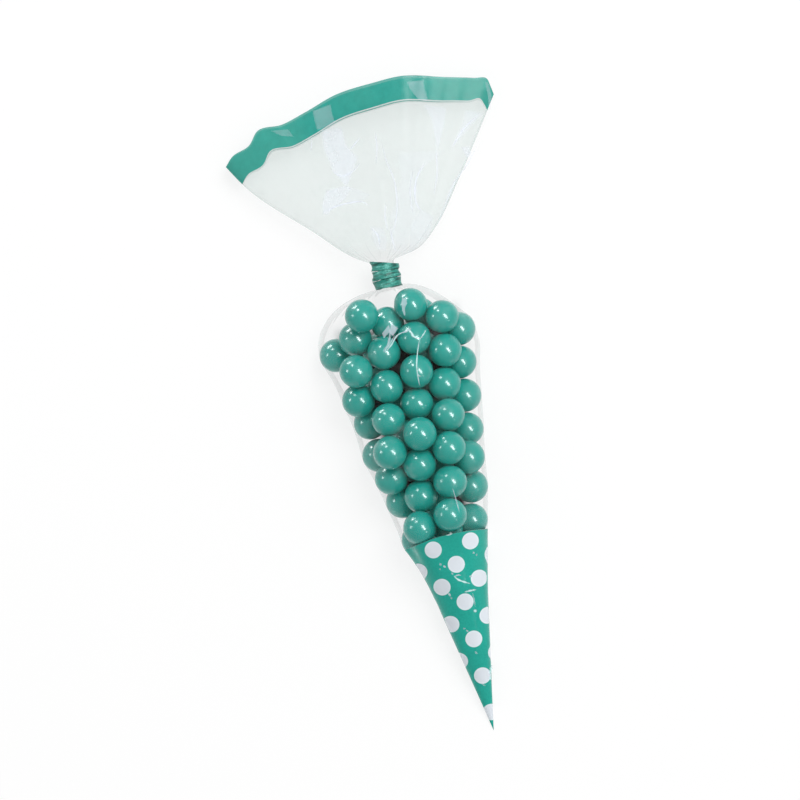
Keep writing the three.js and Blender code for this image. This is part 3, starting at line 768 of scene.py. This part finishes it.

# %% Painted shine: white and partly see-through
shine_tree = new_material("painted_shine_film")
# Painted highlights and painted reflections: white where strong, partly see-through where faint.
painted_shine = add(shine_tree, "ShaderNodeAttribute", attribute_name="painted_shine").outputs["Fac"]
cloud = noise(shine_tree, add(shine_tree, "ShaderNodeTexCoord").outputs["Object"], 260, 3, 0.55)
body = add(shine_tree, "ShaderNodeBsdfPrincipled")
put(shine_tree, body.inputs["Base Color"],
    mix_colour(shine_tree, ramp(shine_tree, painted_shine, 0.55, 0.65), linear(236, 241, 255), linear(218, 255, 253)))
body.inputs["Roughness"].default_value = 0.6
body.inputs["Specular IOR Level"].default_value = 0.1
cloudy = math_node(shine_tree, "MULTIPLY", painted_shine, ramp(shine_tree, cloud, 0.3, 0.65, 0.8, 1.0))
put(shine_tree, body.inputs["Alpha"], cloudy)
out = add(shine_tree, "ShaderNodeOutputMaterial")
put(shine_tree, out.inputs["Surface"], body.outputs[0])
painted_glints.data.materials.append(bpy.data.materials["painted_shine_film"])
painted_glints.visible_shadow = False
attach(painted_glints, "root")

# %% [markdown]
# ## The twist tie
# The tie is a strip of teal foil on a thin wire. The CAD strip has the right turns, so a
# copy of it is divided finely and crumpled with a displacement. The foil is metallic, and
# its small facets catch the light one by one. Its colour is also painted darker in the low
# parts of its fine folds and lighter on their crests: painted shade and painted highlight.

# %% Model the tie
tie_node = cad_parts["twist_tie"]
bpy.ops.object.select_all(action="DESELECT")
tie_node.select_set(True)
bpy.context.view_layer.objects.active = tie_node
bpy.ops.object.duplicate()
tie = bpy.context.object
tie.name = "foil_tie"
bpy.ops.object.mode_set(mode="EDIT")
bpy.ops.mesh.select_all(action="SELECT")
bpy.ops.mesh.remove_doubles(threshold=0.01 * MM)
bpy.ops.mesh.tris_convert_to_quads()
bpy.ops.mesh.subdivide(number_cuts=3, smoothness=0)
bpy.ops.object.mode_set(mode="OBJECT")
WAIST, WAIST_REACH = 0.05, 2.2 * MM
SKEW_TOP, SKEW_FOOT, SKEW_REACH = -0.31, -0.04, 4 * MM
FOOT_DROP = 0.7 * MM
FINE_FOLD, BROAD_FOLD, FOIL_LIFT = 0.6 * MM, 0.9 * MM, 0.15 * MM
tie_middle = (tie_low + tie_high) / 2
for vertex in tie.data.vertices:
    off = vertex.co - Vector((AXIS_X, tie_middle.y, NECK_HEIGHT))
    narrow = 1 - WAIST * math.exp(-((off.y / WAIST_REACH) ** 2))
    upper, lower = smooth(off.y / SKEW_REACH), smooth(-off.y / SKEW_REACH)
    vertex.co.x = AXIS_X + off.x * narrow
    vertex.co.z = max(0.1 * MM, NECK_HEIGHT + off.z * narrow)
    vertex.co.y -= FOOT_DROP * lower
    vertex.co.y += off.x * (SKEW_TOP * upper + SKEW_FOOT * lower)
for vertex in tie.data.vertices:
    # long, low folds round the tie, and steps where the strip has been drawn tight
    place = Vector((vertex.co.x * 160, vertex.co.y * 900, vertex.co.z * 160))
    broad = Vector((vertex.co.x * 90, vertex.co.y * 330, vertex.co.z * 90))
    rise = FINE_FOLD * fold_noise.noise(place) + BROAD_FOLD * fold_noise.noise(broad)
    out_way = Vector((vertex.co.x - AXIS_X, 0, vertex.co.z - NECK_HEIGHT))
    if out_way.length > 3 * MM:
        vertex.co += out_way.normalized() * (rise + FOIL_LIFT)
bpy.ops.object.shade_smooth_by_angle(angle=math.radians(30))
print("tie faces", len(tie.data.polygons))

# %% Foil material
foil = new_material("teal_foil")
metal = add(foil, "ShaderNodeBsdfPrincipled")
lines_round = add(foil, "ShaderNodeMapping")
put(foil, lines_round.inputs["Vector"], add(foil, "ShaderNodeTexCoord").outputs["Object"])
lines_round.inputs["Scale"].default_value = (0.16, 1.0, 0.16)
folds = noise(foil, lines_round.outputs[0], 1500, 4, 0.6)
# Painted shade in the low parts of the fine folds and a painted highlight on their crests.
colour = mix_colour(foil, ramp(foil, folds, 0.40, 0.50), FOIL_FOLD_SHADE, FOIL_MID)
colour = mix_colour(foil, ramp(foil, folds, 0.60, 0.68), colour, FOIL_FOLD_HIGHLIGHT)
put(foil, metal.inputs["Base Color"], colour)
metal.inputs["Metallic"].default_value = 0.15
metal.inputs["Roughness"].default_value = 0.42
crush = add(foil, "ShaderNodeBump")
crush.inputs["Strength"].default_value = 0.7
crush.inputs["Distance"].default_value = 0.3 * MM
put(foil, crush.inputs["Height"], folds)
put(foil, metal.inputs["Normal"], crush.outputs["Normal"])
out = add(foil, "ShaderNodeOutputMaterial")
put(foil, out.inputs["Surface"], metal.outputs[0])
tie.data.materials.clear()
tie.data.materials.append(bpy.data.materials["teal_foil"])
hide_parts("twist_tie")
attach(tie, "root")

# %% [markdown]
# ## Table, light and background
# A wide white table takes the soft shadow. To the camera it is mostly plain white, as in a
# product picture, but it lights the bag as paper does. Under the heap its colour is painted
# nearly black, a painted shade, because the gaps between the sweets are nearly black in the
# photograph.
#
# One large soft lamp and an even world give the light. Five narrow lamps show only in
# glossy things: their mirror images are the small bright streaks on every sweet.

# %% Table
HEAP_EDGE, HEAP_CORE = 4 * MM, 9 * MM
HEAP_FADE, HEAP_TOP = 158 * MM, 168 * MM
SEEN_WHITE = 0.8
bpy.ops.object.select_all(action="DESELECT")
bpy.ops.mesh.primitive_plane_add(size=6, location=(0, 0, -0.05 * MM))
table = bpy.context.object
table.name = "table"
paper = new_material("table_paper")
matt = add(paper, "ShaderNodeBsdfDiffuse")
path = add(paper, "ShaderNodeLightPath")
seen = math_node(paper, "MAXIMUM", path.outputs["Is Camera Ray"], path.outputs["Is Glossy Ray"])
seen = math_node(paper, "MAXIMUM", seen, path.outputs["Is Transmission Ray"])
spot = add(paper, "ShaderNodeSeparateXYZ")
put(paper, spot.inputs[0], add(paper, "ShaderNodeTexCoord").outputs["Object"])
far = math_node(paper, "SUBTRACT", spot.outputs["Y"], TIP_Y)
beside = math_node(paper, "ABSOLUTE", math_node(paper, "SUBTRACT", spot.outputs["X"], AXIS_X))
inside = math_node(paper, "SUBTRACT", math_node(paper, "MULTIPLY", far, SIDE_SLOPE), beside)
# Painted shade: under the heap the table's colour goes nearly black and it gets no white for the
# camera.
painted_heap_shade = math_node(paper, "MULTIPLY", ramp(paper, inside, HEAP_EDGE, HEAP_CORE),
                 ramp(paper, far, HEAP_TOP, HEAP_FADE))
share_white = math_node(paper, "MULTIPLY", seen, math_node(paper, "SUBTRACT", 1.0, painted_heap_shade))
put(paper, matt.inputs["Color"],
    mix_colour(paper, painted_heap_shade, (1.0, 1.0, 1.0, 1.0), (0.02, 0.04, 0.04, 1.0)))
white = add(paper, "ShaderNodeEmission")
white.inputs["Strength"].default_value = 1.0
both = add(paper, "ShaderNodeMixShader")
put(paper, both.inputs[0], math_node(paper, "MULTIPLY", share_white, SEEN_WHITE))
put(paper, both.inputs[1], matt.outputs[0])
put(paper, both.inputs[2], white.outputs[0])
out = add(paper, "ShaderNodeOutputMaterial")
put(paper, out.inputs["Surface"], both.outputs[0])
table.data.materials.append(bpy.data.materials["table_paper"])

# %% Lamps and world
target = Vector((AXIS_X, TIP_Y + 110 * MM, 10 * MM))
GLEAM_DISTANCE = 1.4
WORLD_LIGHT = 0.62


def lamp(name, toward, distance, width, height, watts):
    """An area lamp in a direction of the photograph: right, up in the picture, and out of it."""
    spin = Vector(toward).normalized()
    x = spin.x * math.cos(-LEAN) - spin.y * math.sin(-LEAN)
    y = spin.x * math.sin(-LEAN) + spin.y * math.cos(-LEAN)
    place = target + Vector((x, y, spin.z)) * distance
    bpy.ops.object.light_add(type="AREA", location=place)
    light = bpy.context.object
    light.name = name
    light.rotation_euler = (target - place).to_track_quat("-Z", "Y").to_euler()
    light.data.shape = "RECTANGLE"
    light.data.size = width
    light.data.size_y = height
    light.data.energy = watts
    return light


def gleam(name, start, end, width, brightness):
    """A lamp that shows only as a streak on glossy things, from one direction to another."""
    first = Vector(start).normalized() * GLEAM_DISTANCE
    last = Vector(end).normalized() * GLEAM_DISTANCE
    run = last - first
    toward = first + run / 2
    power = brightness * math.pi * width * run.length
    light = lamp(name, toward, toward.length, width, run.length, power)
    spin = Matrix.Rotation(-LEAN, 3, "Z")
    back, side = (spin @ toward).normalized(), (spin @ run).normalized()
    light.rotation_euler = Matrix((side.cross(back), side, back)).transposed().to_euler()
    light.visible_diffuse = False


gleam("window_left", (-0.74, 0.66, 0.10), (-0.44, 0.89, 0.14), 0.26, 26)
gleam("window_left_2", (-0.44, 0.60, 0.62), (-0.35, 0.74, 0.60), 0.26, 30)
gleam("window_left_3", (-0.92, -0.02, 0.42), (-0.84, 0.16, 0.46), 0.22, 20)
gleam("strip_right", (0.22, 0.28, 0.93), (0.58, -0.18, 0.80), 0.24, 28)
gleam("spot_low", (0.64, -0.40, 0.60), (0.68, -0.49, 0.57), 0.12, 14)
lamp("key", (0.35, 0.55, 1.0), 1.8, 1.0, 1.0, 17).visible_glossy = False
world = bpy.data.worlds.new("plain")
bpy.context.scene.world = world
world.use_nodes = True
world.node_tree.nodes["Background"].inputs["Color"].default_value = (1, 1, 1, 1)
world.node_tree.nodes["Background"].inputs["Strength"].default_value = WORLD_LIGHT

scene = bpy.context.scene
scene.view_settings.view_transform = "Standard"
scene.cycles.transparent_max_bounces = 32
